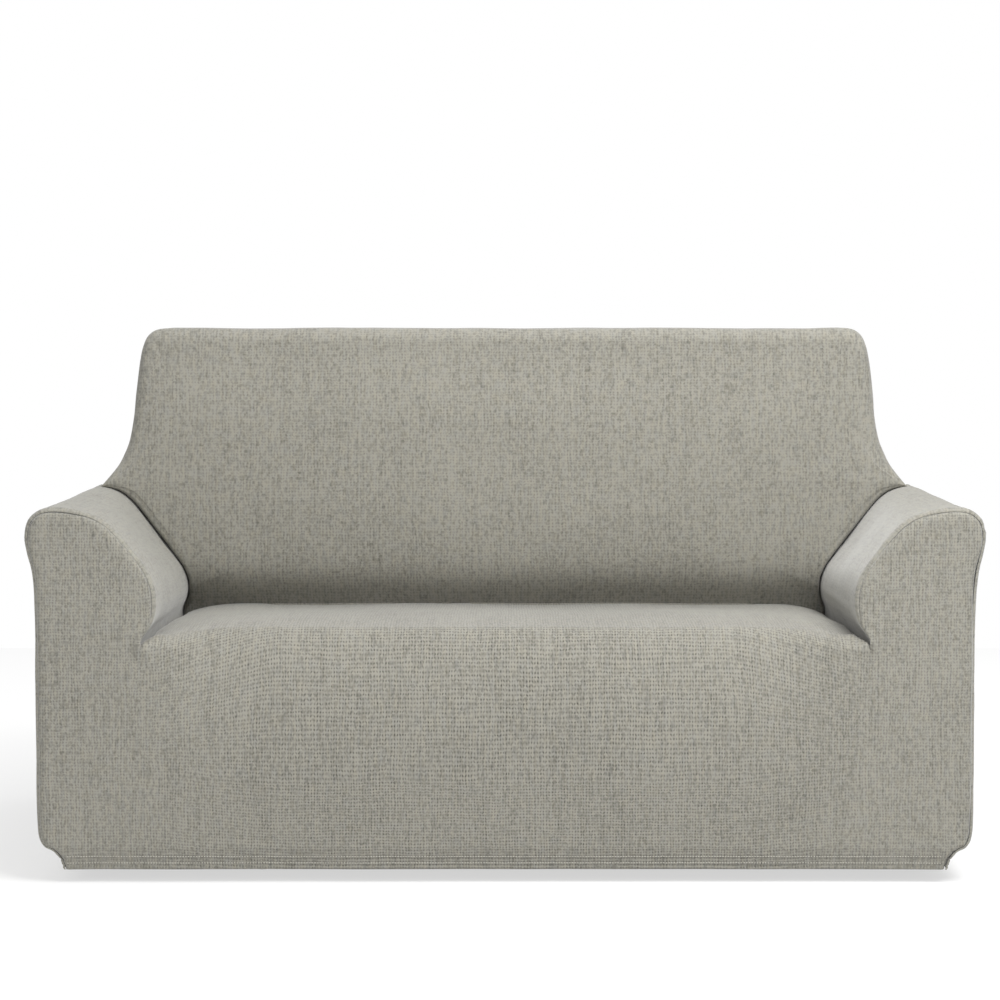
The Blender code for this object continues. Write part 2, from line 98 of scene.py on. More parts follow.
# The arm's section from the tuck beside the seat, over the arm and down to the hem: across and
# up at its front end, the round of its front edge, and where they differ, across and up at its
# back end.
ARM = (
    # name, front_x, front_z, round, back_x, back_z
    ("tuck floor", 0.61, APRON_TOP, 0.004, 0.6102, 0.345),
    ("tuck lip", 0.607, 0.388, 0.008, 0.609, 0.376),
    ("inner foot", 0.588, 0.418, 0.014, 0.5985, 0.402),
    ("inner bulge", 0.582, 0.455, 0.02, 0.595, 0.431),
    ("inner low", 0.5883, 0.487, 0.02, 0.603, 0.457),
    ("inner slope", 0.601, 0.511, 0.02, 0.6165, 0.478),
    ("slope middle", 0.6232, 0.542, 0.02, 0.638, 0.507),
    ("slope high", 0.6437, 0.565, 0.02, 0.66, 0.535),
    ("shoulder", 0.6635, 0.584, 0.02, 0.68, 0.561),
    ("crown inside", 0.689, 0.598, 0.02, 0.701, 0.585),
    ("crown", 0.7192, 0.605, 0.02, 0.725, 0.602),
    ("crown outside", 0.7502, 0.608, 0.02, 0.7555, 0.61),
    ("scroll top", 0.775, 0.604, 0.02, 0.778, 0.605),
    ("scroll", 0.7935, 0.588, 0.02),
    ("scroll outside", 0.8, 0.56, 0.02),
    ("under scroll", 0.7965, 0.533, 0.02),
    ("hollow", 0.79, 0.508, 0.02),
    ("hollow low", 0.7865, 0.48, 0.02),
    ("side top", 0.785, 0.43, 0.02),
    ("side upper", 0.785, APRON_TOP, 0.02),
    ("side middle", 0.785, 0.25, 0.02),
    ("side low", 0.785, 0.15, 0.02),
    ("corner", 0.7845, 0.085, 0.02),
    ("corner low", 0.7815, 0.054, 0.018),
    ("corner under", 0.772, 0.039, 0.014),
    ("under", 0.758, 0.032, 0.012),
    ("ankle", 0.747, 0.019, 0.012),
    ("hem", 0.742, 0.0, 0.012),
)

# The backrest's outline above the arm: across and up at its front, and where they differ, at
# its rear.
BACK = (
    # name, front_x, front_z, rear_x, rear_z
    ("on the arm", 0.7555, 0.61, 0.7935, 0.588),
    ("flare foot", 0.741, 0.628, 0.778, 0.612),
    ("flare", 0.725, 0.65, 0.753, 0.642),
    ("neck", 0.714, 0.673, 0.729, 0.671),
    ("neck top", 0.7055, 0.697, 0.712, 0.698),
    ("side low", 0.6985, 0.74, 0.7, 0.742),
    ("side", 0.695, 0.787),
    ("side high", 0.687, 0.852),
    ("corner low", 0.6815, 0.876),
    ("corner", 0.6725, 0.893),
    ("corner top", 0.657, 0.903),
    ("top end", 0.63, 0.906),
)

# The mesh: its usual step, how many steps the tables' rows take, and the turns of round edges
MESH = 0.0065
FEWEST_STEPS = 4
LEAST_SPAN = 0.000001
HEM_STEPS = (("under", 12), ("ankle", 16))
TURN_STEP = 9.0
SEAM_TURN = 45
EDGE_TURNS = [TURN_STEP * k for k in range(round(SEAM_TURN / TURN_STEP) + 1)]
FULL_TURNS = [TURN_STEP * k for k in range(round(90 / TURN_STEP) + 1)]
EDGE_ROWS = len(EDGE_TURNS) - 1
TUCK_LIP = 0.011
TUCK_INSETS = [0.0, 0.0012, 0.0025, 0.0040, 0.0060, 0.0085, TUCK_LIP]
SEAT_FIRST_STEP = 0.003
SEAT_LAST_STEP = 0.009
SEAT_STEPS_GROWN = 0.15
ROLL_ROWS = 14
DECK_ROWS = 50
ARM_ROWS = 90
ARM_LAST_ROW = ARM_ROWS + 2 * EDGE_ROWS
TOP_COLUMNS = 80
LEAST_ARM_COLUMNS = 28
FLARE_COLUMNS = 16
FLARE_INSET = 0.15
FLARE_FADE = 9
CORNER_FADE = 12
CORNER_SPANS = 4
WELD = 0.00003

# How the weave is stretched: the height of one row on the arms and in the middle of the apron
WEAVE_LEVEL = 0.20
WEAVE_SLACK = 1.36
WEAVE_LOW = 0.150
WEAVE_ARM = 0.62
WEAVE_MIDDLE = 0.36

# A seam's section, and the puckers beside it: how far the cloth stands out, by its distance
SEAM_SECTION = (
    # distance, height
    (0.0, -0.0003),
    (0.0025, 0.0003),
    (0.006, 0.0004),
    (0.013, 0.0),
)
SEAM_REACH = 0.020
PUCKER_LENGTH = 0.009
PUCKER_HEIGHT = 0.0006
PUCKER_AT_SEAM = 0.3

# The hem's section, up from its edge: the turned-up band and the two rows sewn through it
HEM_SECTION = (
    # height above the edge, how far the cloth stands out
    (0.0, -0.0006),
    (0.0025, 0.0003),
    (0.0058, -0.0009),
    (0.009, 0.0004),
    (0.0117, 0.0002),
    (0.0145, 0.0004),
    (0.0175, -0.001),
    (0.0205, 0.0004),
    (0.0233, 0.0002),
    (0.0265, 0.0005),
    (0.03, -0.0004),
    (0.036, 0.0),
)
HEM_WAVE = 0.0015
HEM_WAVE_LENGTH = 0.05

# Soft unevenness of cloth stretched over padding: wave size and height
UNEVENNESS = (
    (0.16, 0.0022),
    (0.055, 0.0007),
)

# How far a crease fades past its ends: a share of its length, up to the longest that counts
FADED_SHARE = 0.2
LONGEST_FADED = 0.300

# Creases of the front: the ends of each on the flat cloth, its half width and its height
FRONT_CREASES = (
    # x, z, end_x, end_z, width, rise
    # the seat's sag, the apron drawn in at its foot, and the upper roll
    (-0.4, 0.87, 0.4, 0.87, 0.15, -0.01),
    (-0.66, 0.02, 0.66, 0.02, 0.09, -0.0055),
    (-0.5, 0.4, 0.5, 0.4, 0.08, -0.004),
    # the fullness over each slit
    (-0.58, 0.406, -0.604, 0.38, 0.012, 0.008),
    (0.58, 0.406, 0.604, 0.38, 0.012, 0.008),
    # by the left slit: ridge, hollow, pull and drag
    (-0.6125, 0.392, -0.611, 0.366, 0.003, 0.003),
    (-0.605, 0.384, -0.6065, 0.362, 0.0035, -0.0022),
    (-0.6, 0.36, -0.55, 0.318, 0.008, 0.0012),
    (-0.618, 0.356, -0.628, 0.3, 0.007, 0.001),
    # by the right slit: ridge, hollow, second ridge and pull
    (0.6125, 0.39, 0.612, 0.37, 0.0028, 0.0024),
    (0.6065, 0.386, 0.606, 0.364, 0.003, -0.002),
    (0.619, 0.386, 0.62, 0.368, 0.0026, 0.0016),
    (0.6, 0.358, 0.545, 0.322, 0.008, 0.0012),
    # valleys and fullness of the apron
    (-0.196, 0.35, -0.19, 0.06, 0.034, -0.0024),
    (0.025, 0.35, 0.03, 0.25, 0.03, 0.002),
    (0.158, 0.345, 0.152, 0.24, 0.03, 0.0018),
    (0.093, 0.34, 0.092, 0.2, 0.024, -0.0014),
    (-0.42, 0.33, -0.43, 0.08, 0.03, -0.0014),
    (0.43, 0.33, 0.45, 0.09, 0.032, -0.0015),
    # the hem's pleat with its hollow, and its deep groove
    (-0.4226, 0.03, -0.409, 0.003, 0.003, 0.002),
    (-0.4175, 0.031, -0.404, 0.005, 0.0026, -0.0014),
    (0.364, 0.0058, 0.474, 0.0056, 0.0022, -0.0016),
    # ribs of the left corner
    (-0.742, 0.046, -0.739, 0.028, 0.003, 0.0012),
    (-0.73, 0.047, -0.728, 0.029, 0.0028, 0.0013),
    (-0.718, 0.045, -0.717, 0.028, 0.003, 0.0011),
    (-0.703, 0.043, -0.703, 0.029, 0.0032, 0.0009),
    (-0.685, 0.041, -0.686, 0.029, 0.0034, 0.0007),
    # drags of the right corner
    (0.7, 0.088, 0.772, 0.04, 0.006, 0.0014),
    (0.712, 0.066, 0.76, 0.034, 0.005, 0.0012),
    (0.7, 0.05, 0.748, 0.026, 0.004, 0.001),
    # the pull at the left foot
    (-0.75, 0.11, -0.77, 0.06, 0.007, 0.001),
)

# Creases of the inside back, laid out the same way
BACK_CREASES = (
    # x, z, end_x, end_z, width, rise
    # valleys
    (-0.22, 0.85, -0.215, 0.44, 0.036, -0.0026),
    (0.15, 0.86, 0.16, 0.56, 0.034, -0.0018),
    (-0.46, 0.85, -0.47, 0.52, 0.04, -0.0018),
    (0.43, 0.86, 0.45, 0.5, 0.038, -0.0018),
    # creases of the left corner
    (-0.67, 0.89, -0.645, 0.868, 0.0028, -0.001),
    (-0.664, 0.896, -0.636, 0.88, 0.0028, 0.001),
    (-0.654, 0.902, -0.63, 0.892, 0.0026, -0.0009),
    (-0.676, 0.88, -0.656, 0.856, 0.0028, 0.0009),
    (-0.68, 0.868, -0.664, 0.842, 0.003, -0.0008),
    # creases of the right corner
    (0.67, 0.889, 0.646, 0.868, 0.0028, -0.0009),
    (0.663, 0.897, 0.638, 0.881, 0.0026, 0.0009),
    (0.676, 0.879, 0.656, 0.858, 0.0028, 0.0008),
    # pulls at the flares
    (-0.715, 0.66, -0.65, 0.72, 0.009, -0.0014),
    (0.715, 0.66, 0.65, 0.72, 0.009, -0.0014),
    # pulls at the foot
    (-0.595, 0.42, -0.52, 0.45, 0.009, 0.0016),
    (0.595, 0.42, 0.525, 0.452, 0.009, 0.0014),
)

# Creases of the arms, on the flat cloth: from the front to the back, and along the section
LEFT_ARM_CREASES = (
    # y, along, end_y, end_along, width, rise
    # the inner slope's roll, the foot's fold and the scroll's drag
    (-0.38, 0.19, 0.12, 0.185, 0.02, -0.0016),
    (-0.33, 0.075, 0.1, 0.07, 0.009, 0.0016),
    (-0.4, 0.34, -0.3, 0.335, 0.008, 0.001),
)
RIGHT_ARM_CREASES = (
    # y, along, end_y, end_along, width, rise
    # the inner slope's roll, the foot's fold and the scroll's puckers
    (-0.38, 0.18, 0.12, 0.19, 0.022, -0.0016),
    (-0.32, 0.07, 0.1, 0.075, 0.009, 0.0018),
    (-0.418, 0.392, -0.396, 0.392, 0.003, 0.0012),
    (-0.418, 0.401, -0.398, 0.401, 0.0026, -0.001),
    (-0.418, 0.409, -0.394, 0.41, 0.003, 0.0012),
)
REAR_CREASES = (
    # x, z, end_x, end_z, width, rise
    # valleys
    (-0.3, 0.8, -0.31, 0.25, 0.05, -0.003),
    (0.04, 0.82, 0.03, 0.3, 0.06, -0.0026),
    (0.36, 0.78, 0.37, 0.24, 0.05, -0.003),
)

# The plain cloths' weave against the apron's, across and along, and how deep each weave is
EVEN_WEAVE = (0.83, 1.28)
APRON_WEAVE = 1.0
BACK_WEAVE = 0.50
ARM_WEAVE = 0.25

# The weave: how its rows waver, the sizes of its parts, and how much each darkens or lightens. The
# holes and gaps between the floats are darkened with painted shade, which a shallower weave has
# less of.
WAVER_ACROSS = 9.0
WAVER_ALONG = 22.0
WAVER = 1.2
ZIGZAG = 0.07
GAP_SHARPNESS = 1.3
HOLE_DEPTH = 0.76
GAP_DEPTH = 0.12
RIB_LIFT = 0.10
FLECK_ACROSS = 1.6
FLECK_LIFT = 0.66
# Painted shade taken off: a shallower weave is painted lighter, as it has less shade in its gaps
LESS_GAP_SHADE = 0.04
CALM_START = 0.10
CALM_RUN = 0.30
CALM = 0.45
SLUB_ACROSS = 1.1
SLUB_LIFT = 0.46
STREAK_LIFT = 0.20
BLOTCH = 4.0
BLOTCH_LIFT = 0.16
CELL_LIFT = 0.32
THREAD_LIFT = 0.26
HUE_SPREAD = 1.35
HUE_ACROSS = 0.8
HUE_ALONG = 0.25
STREAK_ACROSS = 0.21
STREAK_ALONG = 0.3
RIB_HEIGHT = 0.25
THREAD_HEIGHT = 0.2
CLOTH_SPECULAR = 0.25
SHEEN_ROUGHNESS = 0.5

# How far each noise of the weave lies from the first one, so that none repeats another
SWAY_AWAY = 7.3
STREAK_AWAY = (31.0, 5.0)
FLECK_AWAY = 11.0
BLOTCH_AWAY = 41.0
THREAD_AWAY = 91.0
HUE_AWAY = (3.0, 17.0)

# The sewing thread's twist
TWIST_SCALE = 900.0
TWIST_DARK = 0.7
THREAD_ROUGHNESS = 0.8

# The places of the sockets that have no name of their own in their nodes
MIX_AMOUNT, MIX_FIRST, MIX_SECOND, MIX_RESULT = 0, 6, 7, 2
OBJECT_PLACE = 3

# The hem's stitches: which cloth each side is sewn on, the way in and the way along
HEM_SIDES = (
    ("hem_stitches_front", "front_cloth", (0, 1, 0), (1, 0, 0)),
    ("hem_stitches_rear", "outside_back_cloth", (0, -1, 0), (-1, 0, 0)),
    ("hem_stitches_left", "arm_cloth_left", (1, 0, 0), (0, -1, 0)),
    ("hem_stitches_right", "arm_cloth_right", (-1, 0, 0), (0, 1, 0)),
)
HEM_ROWS = (0.0117, 0.0233)
HEM_HALF_WIDTH = 0.735
HEM_HALF_DEPTH = 0.400
NEEDLE_START = 2

# The studio: soft lights by place, the point each faces, and size
LIGHTS = (
    ("key", (1.1, -1.9, 2.5), (0.0, 0.0, 0.4), (1.4, 1.4)),
    ("top", (0.5, -0.3, 3.4), (0.0, -0.1, 0.0), (4.0, 3.0)),
    ("fill", (-1.6, -4.2, 1.8), (0.0, 0.0, 0.4), (3.0, 2.4)),
)
FLOOR_SIZE = 2.9
WHITE = (1.0, 1.0, 1.0)
FLOOR_COLOUR = (0.37, 0.37, 0.37)
# Painted light: the floor glows though it is no lamp, with FLOOR_NEAR near the cover so that the
# shade under the hem shows, and white further out
FLOOR_NEAR = (0.857, 0.857, 0.857)
FLOOR_FAR_START = 1.0
FLOOR_FAR_RUN = 2.2
CAMERA_PLACE = (-0.0083, -4.901, 0.912)
CAMERA_PITCH = 3.7
CAMERA_LENS = 97.38
CAMERA_SENSOR = 36.0

NAMES = [row[0] for row in ARM]


def smooth(t):
    """0 to 1 with level ends, for t from 0 to 1 and held past them."""
    t = min(max(t, 0.0), 1.0)
    return t * t * (3 - 2 * t)


def steps_between(points, finer=()):
    """How many mesh steps each span between named points takes."""
    steps = [max(FEWEST_STEPS, round((b - a).length / MESH)) for a, b in zip(points, points[1:])]
    for k, count in finer:
        steps[k] = count
    return steps + [0]


def curve_through(points, steps):
    """A smooth curve through points, with so many steps in each span."""
    last = len(points) - 1
    knots = [0.0]
    for here, after in zip(points, points[1:]):
        knots.append(knots[-1] + max((after - here).length, LEAST_SPAN))
    slopes = []
    for k in range(last + 1):
        low, high = max(k - 1, 0), min(k + 1, last)
        slopes.append((points[high] - points[low]) / (knots[high] - knots[low]))
    curve = []
    for k in range(last):
        span = knots[k + 1] - knots[k]
        for step in range(steps[k]):
            t = step / steps[k]
            curve.append(
                points[k] * (2 * t**3 - 3 * t**2 + 1)
                + slopes[k] * span * (t**3 - 2 * t**2 + t)
                + points[k + 1] * (3 * t**2 - 2 * t**3)
                + slopes[k + 1] * span * (t**3 - t**2)
            )
    curve.append(points[last])
    return curve


def outward_of(curve):
    """The unit normal at each point, on the curve's left."""
    normals = []
    for k in range(len(curve)):
        way = curve[min(k + 1, len(curve) - 1)] - curve[max(k - 1, 0)]
        normals.append(Vector((-way.y, way.x)).normalized())
    return normals


def lengths_of(curve):
    """How far along a curve each of its points lies."""
    lengths = [0.0]
    for here, after in zip(curve, curve[1:]):
        lengths.append(lengths[-1] + (after - here).length)
    return lengths


ARM_POINTS = [Vector(row[1:3]) for row in ARM]
ARM_STEPS = steps_between(ARM_POINTS, [(NAMES.index(name), n) for name, n in HEM_STEPS])
ARM_FRONT = curve_through(ARM_POINTS, ARM_STEPS)
ARM_BACK = curve_through([Vector(row[4:] or row[1:3]) for row in ARM], ARM_STEPS)
ARM_ROUND = [p.x for p in curve_through([Vector((row[3], 0)) for row in ARM], ARM_STEPS)]
ARM_FRONT_OUT = outward_of(ARM_FRONT)
ARM_BACK_OUT = outward_of(ARM_BACK)
ARM_FRONT_OUT[0] = Vector((-1, 0))
ARM_LENGTHS = lengths_of(ARM_FRONT)


def arm_index(name):
    """Where a named row of the arm's table lies in its curves."""
    return sum(ARM_STEPS[: NAMES.index(name)])


ARM_TUCK_LIP = arm_index("tuck lip")
ON_ARM = arm_index("crown outside")
REAR_CORNER = arm_index("scroll")
APRON_SIDE = arm_index("side upper")
HEM = len(ARM_FRONT) - 1

BACK_POINTS = [Vector(row[1:3]) for row in BACK]
BACK_STEPS = steps_between(BACK_POINTS)
SIDE_FRONT = curve_through(BACK_POINTS, BACK_STEPS)
SIDE_REAR = curve_through([Vector(row[3:] or row[1:3]) for row in BACK], BACK_STEPS)
CORNER_POINTS = sum(BACK_STEPS[-CORNER_SPANS:])


def face_y(z):
    """How far back the inside back's face stands at a height."""
    lean = BACK_LEAN * max(0.0, z - SEAT_LIP) / (BACK_TOP - SEAT_LIP)
    above = max(0.0, z - FOOT_LEVEL) / FOOT_WIDTH
    return BACK_Y + lean + FOOT_SINK * math.exp(-(above**2))


def hem_draw(z):
    """How far the cloth is drawn in near its hem."""
    return HEM_DRAW * smooth((HEM_RISE - z) / HEM_RISE)


def turned(radius, degrees):
    """Along the face and away from it, at a turn of a round edge."""
    angle = math.radians(degrees)
    return radius * (1 - math.sin(angle)), radius * (1 - math.cos(angle))


def round_length(radius, degrees):
    """How much longer than its shadow a round edge is, up to a turn."""
    angle = math.radians(degrees)
    return radius * (angle - math.sin(angle))


def steps_growing(end, first, last):
    """Distances from the tuck's lip to an end, in steps that grow from first to last."""
    steps = []
    while sum(steps) < end - TUCK_LIP:
        steps.append(first + (last - first) * smooth(sum(steps) / SEAT_STEPS_GROWN))
    share = (end - TUCK_LIP) / sum(steps)
    return [TUCK_LIP + share * sum(steps[: k + 1]) for k in range(len(steps))]


SEAT_COLUMNS = TUCK_INSETS + steps_growing(SEAT_HALF, SEAT_FIRST_STEP, SEAT_LAST_STEP)
SEAT_COLUMNS[-1] = SEAT_HALF
ARM_FRONT_COLUMNS = LEAST_ARM_COLUMNS + (APRON_SIDE - LEAST_ARM_COLUMNS) % 2
TUCK_ROWS = len(TUCK_INSETS) - 1


def add_patch(bm, columns, rows, place):
    """A grid of quads: each column and row gives a point and its place on the flat cloth."""
    flat = bm.verts.layers.float_vector["flat"]
    grid = bmesh.ops.create_grid(bm, x_segments=columns, y_segments=rows, size=0.5)
    for vert in grid["verts"]:
        column = round((vert.co.x + 0.5) * columns)
        row = round((vert.co.y + 0.5) * rows)
        point, cut = place(column, row)
        vert.co = point
        vert[flat] = (cut[0], cut[1], 0.0)


def coons(south, north, west, east, across, up):
    """A point of the patch between four rows of points that share their ends."""
    s, t = across / (len(south) - 1), up / (len(west) - 1)
    ruled = west[up].lerp(east[up], s) + south[across].lerp(north[across], t)
    return ruled - south[0].lerp(south[-1], s).lerp(north[0].lerp(north[-1], s), t)


# The front: apron, arm fronts and seat


def front_border(index, degrees):
    """A point of the front cloth's round border, and its cut place."""
    radius = ARM_ROUND[index]
    inset, back = turned(radius, degrees)
    outward = ARM_FRONT_OUT[index]
    across, up = ARM_FRONT[index] - outward * inset
    if index == HEM:
        up = 0.0
    cut = Vector((across, up)) + outward * round_length(radius, degrees)
    return Vector((across, FRONT_Y + back + hem_draw(up), up)), cut


def apron_columns():
    """The columns of the apron's top, as shares of its half width."""
    width = front_border(APRON_SIDE, 0)[0].x
    seat = [SEAT_HALF - inset for inset in reversed(SEAT_COLUMNS[1:])]
    border = [front_border(0, degrees)[0].x for degrees in reversed(EDGE_TURNS[1:])]
    inner = front_border(0, 0)[0].x
    arm = [inner + (width - inner) * k / ARM_FRONT_COLUMNS for k in range(ARM_FRONT_COLUMNS + 1)]
    return [x / width for x in seat + border + arm]


APRON_SHARES = apron_columns()


def seat_level(inset):
    """The seat's height at a distance in from the tuck."""
    return SEAT_LIP + SEAT_RISE * (1 - math.exp(-inset / SEAT_SHOULDER))


def full_roll(across):
    """The share of the full roll at a distance from the middle."""
    return 1 - smooth((across - ROLL_FULL) / (ROLL_END - ROLL_FULL))


def roll_back(across, z):
    """How far back the padding's roll turns the cloth."""
    if across >= ROLL_END:
        return 0.0
    tall = seat_level(SEAT_HALF - across) - ROLL_FOOT
    rise = min(max((z - ROLL_FOOT) / tall, 0.0), 1.0)
    return full_roll(across) * ROLL_DEPTH * (1 - math.sqrt(1 - rise * rise))


def apron_point(column, row):
    """A point of the apron, row by row up from the hem."""
    index = HEM - row
    edge = front_border(index, 0)[0]
    across = edge.x * APRON_SHARES[column]
    y = FRONT_Y + hem_draw(edge.z) + roll_back(across, edge.z)
    point = Vector((across, y, edge.z))
    border = column - len(SEAT_COLUMNS) + 1
    if index == APRON_SIDE and 0 <= border < len(EDGE_TURNS):
        point = front_border(0, EDGE_TURNS[-1 - border])[0]
    return point, (point.x, point.z)


def add_arm_front(bm):
    """The flat of one arm's front, inside its round border."""
    rim = [front_border(index, 0)[0] for index in range(APRON_SIDE + 1)]
    tall = (APRON_SIDE - ARM_FRONT_COLUMNS) // 2
    west = rim[: tall + 1]
    north = rim[tall : tall + ARM_FRONT_COLUMNS + 1]
    east = rim[: tall + ARM_FRONT_COLUMNS - 1 : -1]
    south = [rim[0].lerp(rim[-1], k / ARM_FRONT_COLUMNS) for k in range(ARM_FRONT_COLUMNS + 1)]

    def arm_front_point(column, row):
        point = coons(south, north, west, east, column, row)
        return point, (point.x, point.z)

    add_patch(bm, ARM_FRONT_COLUMNS, tall, arm_front_point)


def tuck_drop(inset):
    """The share of the tuck's depth at a distance in from its wall."""
    return max(0.0, 1 - inset / TUCK_LIP) ** 2


def seat_point(column, row):
    """A point of the seat, row by row from the apron over the roll to the rear tuck."""
    inset = SEAT_COLUMNS[len(SEAT_COLUMNS) - 1 - column]
    across = SEAT_HALF - inset
    level = seat_level(inset)
    if row == 0:
        return apron_point(column, HEM - APRON_SIDE)
    lip = face_y(TUCK_FLOOR) - TUCK_GAP - TUCK_LIP
    back_inset = TUCK_LIP
    end_roll = SEAT_ROLL * (1 - full_roll(across))
    foot = FRONT_Y + roll_back(across, APRON_TOP)
    front = FRONT_Y + end_roll + roll_back(across, level)
    if row <= ROLL_ROWS:
        angle = math.radians(90 * row / ROLL_ROWS)
        z = APRON_TOP + (level - APRON_TOP) * math.sin(angle)
        y = FRONT_Y + end_roll * (1 - math.cos(angle)) + roll_back(across, z)
    else:
        share = min(1.0, (row - ROLL_ROWS) / DECK_ROWS)
        y = front + (lip - front) * share
        z = level - SEAT_FALL * share * share
        behind = max(0, row - ROLL_ROWS - DECK_ROWS)
        back_inset = TUCK_INSETS[TUCK_ROWS - behind]
        y += TUCK_LIP - back_inset
    across -= SEAT_MOUTH * (1 - smooth((y - FRONT_Y) / SEAT_MOUTH_FADE))
    run = ROLL_LENGTH * (z - APRON_TOP + min(y, front) - foot) + max(y - front, 0.0)
    side_drop = tuck_drop(inset) * smooth((y - FRONT_Y) / TUCK_FADE)
    back_drop = tuck_drop(back_inset)
    depth = z - TUCK_FLOOR
    z -= depth * max(side_drop, back_drop)
    cut = (across + depth * side_drop, APRON_TOP + run + depth * back_drop)
    return Vector((across, y, z)), cut


def make_front(bm):
    add_patch(bm, len(APRON_SHARES) - 1, HEM - APRON_SIDE, apron_point)
    add_patch(bm, HEM, EDGE_ROWS, lambda column, row: front_border(column, EDGE_TURNS[row]))
    add_arm_front(bm)
    add_patch(bm, len(SEAT_COLUMNS) - 1, ROLL_ROWS + DECK_ROWS + TUCK_ROWS, seat_point)


# The arm's band


def arm_rear_y(index):
    """How far back the arm's cloth reaches along its section."""
    start = face_y(ARM_BACK[min(index, ON_ARM)].y) + TUCK_REACH
    if index <= ON_ARM:
        return start
    end = REAR_Y - turned(REAR_ROUND, SEAM_TURN)[1]
    return start + (end - start) * min(1.0, (index - ON_ARM) / (REAR_CORNER - ON_ARM))


def rear_turn(index):
    """How much of the rear edge's round the arm's cloth takes."""
    return smooth((index - ON_ARM) / (REAR_CORNER - ON_ARM))


def arm_point(index, row):
    """A point of the arm's band, row by row from its front seam."""
    radius = ARM_ROUND[index]
    rear_y = arm_rear_y(index)
    front_y = FRONT_Y + radius
    _, back_rear = turned(REAR_ROUND, SEAM_TURN)
    last_y = rear_y - (REAR_ROUND - back_rear)
    inset = 0.0
    if row < EDGE_ROWS:
        inset, back = turned(radius, 90 - EDGE_TURNS[EDGE_ROWS - row])
        y = FRONT_Y + back
    elif row <= EDGE_ROWS + ARM_ROWS:
        y = front_y + (last_y - front_y) * (row - EDGE_ROWS) / ARM_ROWS
    else:
        inset, back = turned(REAR_ROUND, 90 - EDGE_TURNS[row - EDGE_ROWS - ARM_ROWS])
        y = rear_y + back_rear - back
        inset *= rear_turn(index)
    share = smooth((y - front_y) / (last_y - front_y))
    if index <= ARM_TUCK_LIP:
        share = smooth((y - front_y) / TUCK_FADE)
    section = ARM_FRONT[index].lerp(ARM_BACK[index], share)
    outward = ARM_FRONT_OUT[index].lerp(ARM_BACK_OUT[index], share).normalized()
    across, up = section - outward * inset
    if index == 0:
        up += SLIT_CLEAR * (1 - share)
    if index == HEM:
        up = 0.0
    point = Vector((across, y + hem_draw(up) * (1 - share), up))
    return point, (y, ARM_LENGTHS[index])


def make_arm(bm):
    add_patch(bm, HEM, ARM_LAST_ROW, arm_point)


# The inside back and the outside back


def half_outline(lower, upper):
    """A back's half outline up to the end of its top, and the outward normals on it."""
    outline = lower + upper[1:]
    normals = [-normal for normal in outward_of(outline)]
    normals[-1] = Vector((0, 1))
    return outline, normals


BACK_EDGE, BACK_OUT = half_outline(ARM_BACK[: ON_ARM + 1], SIDE_FRONT)
REAR_EDGE, REAR_OUT = half_outline(ARM_BACK[: REAR_CORNER - 1 : -1], SIDE_REAR)
REAR_OUT[HEM - REAR_CORNER] = ARM_BACK_OUT[REAR_CORNER]
REAR_ARM = HEM - REAR_CORNER
BACK_END = len(BACK_EDGE) - 1
REAR_END = len(REAR_EDGE) - 1
OVER_STEPS = REAR_CORNER - ON_ARM


def back_radius(index):
    """The round of the border: tight in the tuck, full above the arm."""
    return TUCK_ROUND + (BACK_ROUND - TUCK_ROUND) * smooth((index - ON_ARM) / FLARE_COLUMNS)


def back_edge(index, degrees, gap):
    """A point of the inside back's round border, clear of the arm by a gap."""
    inset, back = turned(back_radius(index), degrees)
    if index <= ON_ARM:
        inset += gap
    inset *= FLARE_INSET + (1 - FLARE_INSET) * smooth(abs(index - ON_ARM) / FLARE_FADE)
    across, up = BACK_EDGE[index] - BACK_OUT[index] * inset
    if index == 0:
        up = TUCK_FLOOR
    return Vector((across, face_y(up) + back, up))


def rear_border(index, degrees):
    """A point of the outside back's round border, and its cut place."""
    inset, back = turned(REAR_ROUND, degrees)
    across, up = REAR_EDGE[index] - REAR_OUT[index] * inset
    if index == 0:
        up = 0.0
    cut = Vector((across, up)) + REAR_OUT[index] * round_length(REAR_ROUND, degrees)
    return Vector((across, REAR_Y - back, up)), cut


def over_place(index, row):
    """A point of the cloth turned back from the border, row by row."""
    turned_rows = len(FULL_TURNS)
    if row < turned_rows:
        return back_edge(index, FULL_TURNS[row], TUCK_LIP_GAP)
    if index <= ON_ARM and row == turned_rows:
        point = back_edge(index, 90, TUCK_GAP)
        point.y = arm_rear_y(index)
        return point
    step = row - turned_rows
    if index == ON_ARM:
        return arm_point(ON_ARM + step, ARM_LAST_ROW)[0]
    start = back_edge(index, 90, 0)
    rear = index - ON_ARM + REAR_ARM
    flat_steps = OVER_STEPS - EDGE_ROWS
    share = min(1.0, (step + 1) / (flat_steps + 1))
    point = start.lerp(rear_border(rear, 90)[0], share)
    if step > flat_steps:
        point = rear_border(rear, 90 - EDGE_TURNS[step - flat_steps])[0]
    even = start.lerp(rear_border(rear, SEAM_TURN)[0], (step + 1) / (OVER_STEPS + 1))
    return even.lerp(point, smooth((index - ON_ARM) / FLARE_COLUMNS))


def over_point(index, row):
    """The same point, with its cut place beyond the face's edge."""
    rim = back_edge(index, 0, TUCK_LIP_GAP)
    point = over_place(index, row)
    degrees = FULL_TURNS[min(row, len(FULL_TURNS) - 1)]
    beyond = back_radius(index) * math.radians(degrees)
    if row >= len(FULL_TURNS):
        beyond += point.y - back_edge(index, 90, TUCK_LIP_GAP).y
    return point, Vector((rim.x, rim.z)) + BACK_OUT[index] * beyond


def add_top(bm, rows, place):
    """A border along the straight top, from its end to the middle."""

    def top_point(column, row):
        point, cut = place(row)
        share = 1 - column / TOP_COLUMNS
        return Vector((point.x * share, point.y, point.z)), (cut.x * share, cut.y)

    add_patch(bm, TOP_COLUMNS, rows, top_point)


